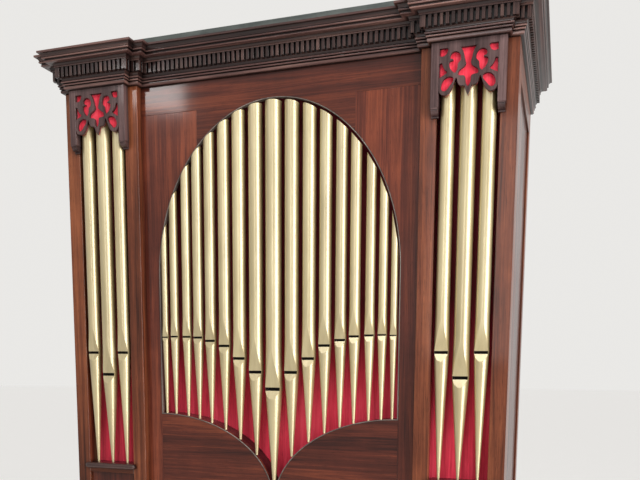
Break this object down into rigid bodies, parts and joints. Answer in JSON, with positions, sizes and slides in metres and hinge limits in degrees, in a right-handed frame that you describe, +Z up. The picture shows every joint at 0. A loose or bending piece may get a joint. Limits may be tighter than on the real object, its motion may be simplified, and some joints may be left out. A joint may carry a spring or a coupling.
{
  "type": "pipe organ case",
  "caption": "Free-standing chamber pipe organ: polished wooden case with two towers, an arched centre, gilt front pipes, fretted pipe shades and a dentil cornice.",
  "frame": {"origin": "middle of the bounding box at floor level", "axes": "+X to the viewer's right as one faces the pipes, +Y from the front towards the back, +Z up"},
  "size_m": [2.076, 0.972, 3.102],
  "materials": {
    "mahogany": "polished",
    "dark_mahogany": "polished, darkened",
    "red_mahogany": "polished",
    "fret_wood": "faded polish",
    "inside_wood": "unpolished",
    "grey_board": "painted matt",
    "gilt": "gilded, satin",
    "crimson_cloth": "woven silk",
    "bright_cloth": "woven silk"
  },
  "bodies": {
    "root": {"plinth": "dark_mahogany", "bottom_boards": "inside_wood", "lower_centre_frame": "mahogany", "lower_centre_panels": "mahogany", "left_tower_frame": "mahogany", "right_tower_frame": "mahogany", "left_tower_panels": "red_mahogany", "right_tower_panels": "red_mahogany", "left_sill": "dark_mahogany", "right_sill": "dark_mahogany", "waist_moulding": "dark_mahogany", "centre_left_stile": "mahogany", "centre_right_stile": "mahogany", "centre_top_rail": "red_mahogany", "left_shoulder": "red_mahogany", "right_shoulder": "red_mahogany", "opening_bead": "fret_wood", "pipe_ledge": "dark_mahogany", "pipe_box": "inside_wood", "left_side_frame": "mahogany", "right_side_frame": "mahogany", "left_side_panels": "red_mahogany", "right_side_panels": "red_mahogany", "back_frame": "inside_wood", "back_panels": "inside_wood", "frieze_boards": "inside_wood", "architrave": "dark_mahogany", "dentil_course": "dark_mahogany", "crown_moulding": "mahogany", "roof_boards": "inside_wood", "top_board": "grey_board", "left_shade_frame": "fret_wood", "right_shade_frame": "fret_wood", "left_shade_fret": "fret_wood", "right_shade_fret": "fret_wood", "left_shade_cloth": "bright_cloth", "right_shade_cloth": "bright_cloth", "centre_pipes": "gilt", "left_tower_pipes": "gilt", "right_tower_pipes": "gilt", "centre_cloth": "crimson_cloth", "left_tower_cloth": "crimson_cloth", "right_tower_cloth": "crimson_cloth"}
  },
  "joints": []
}
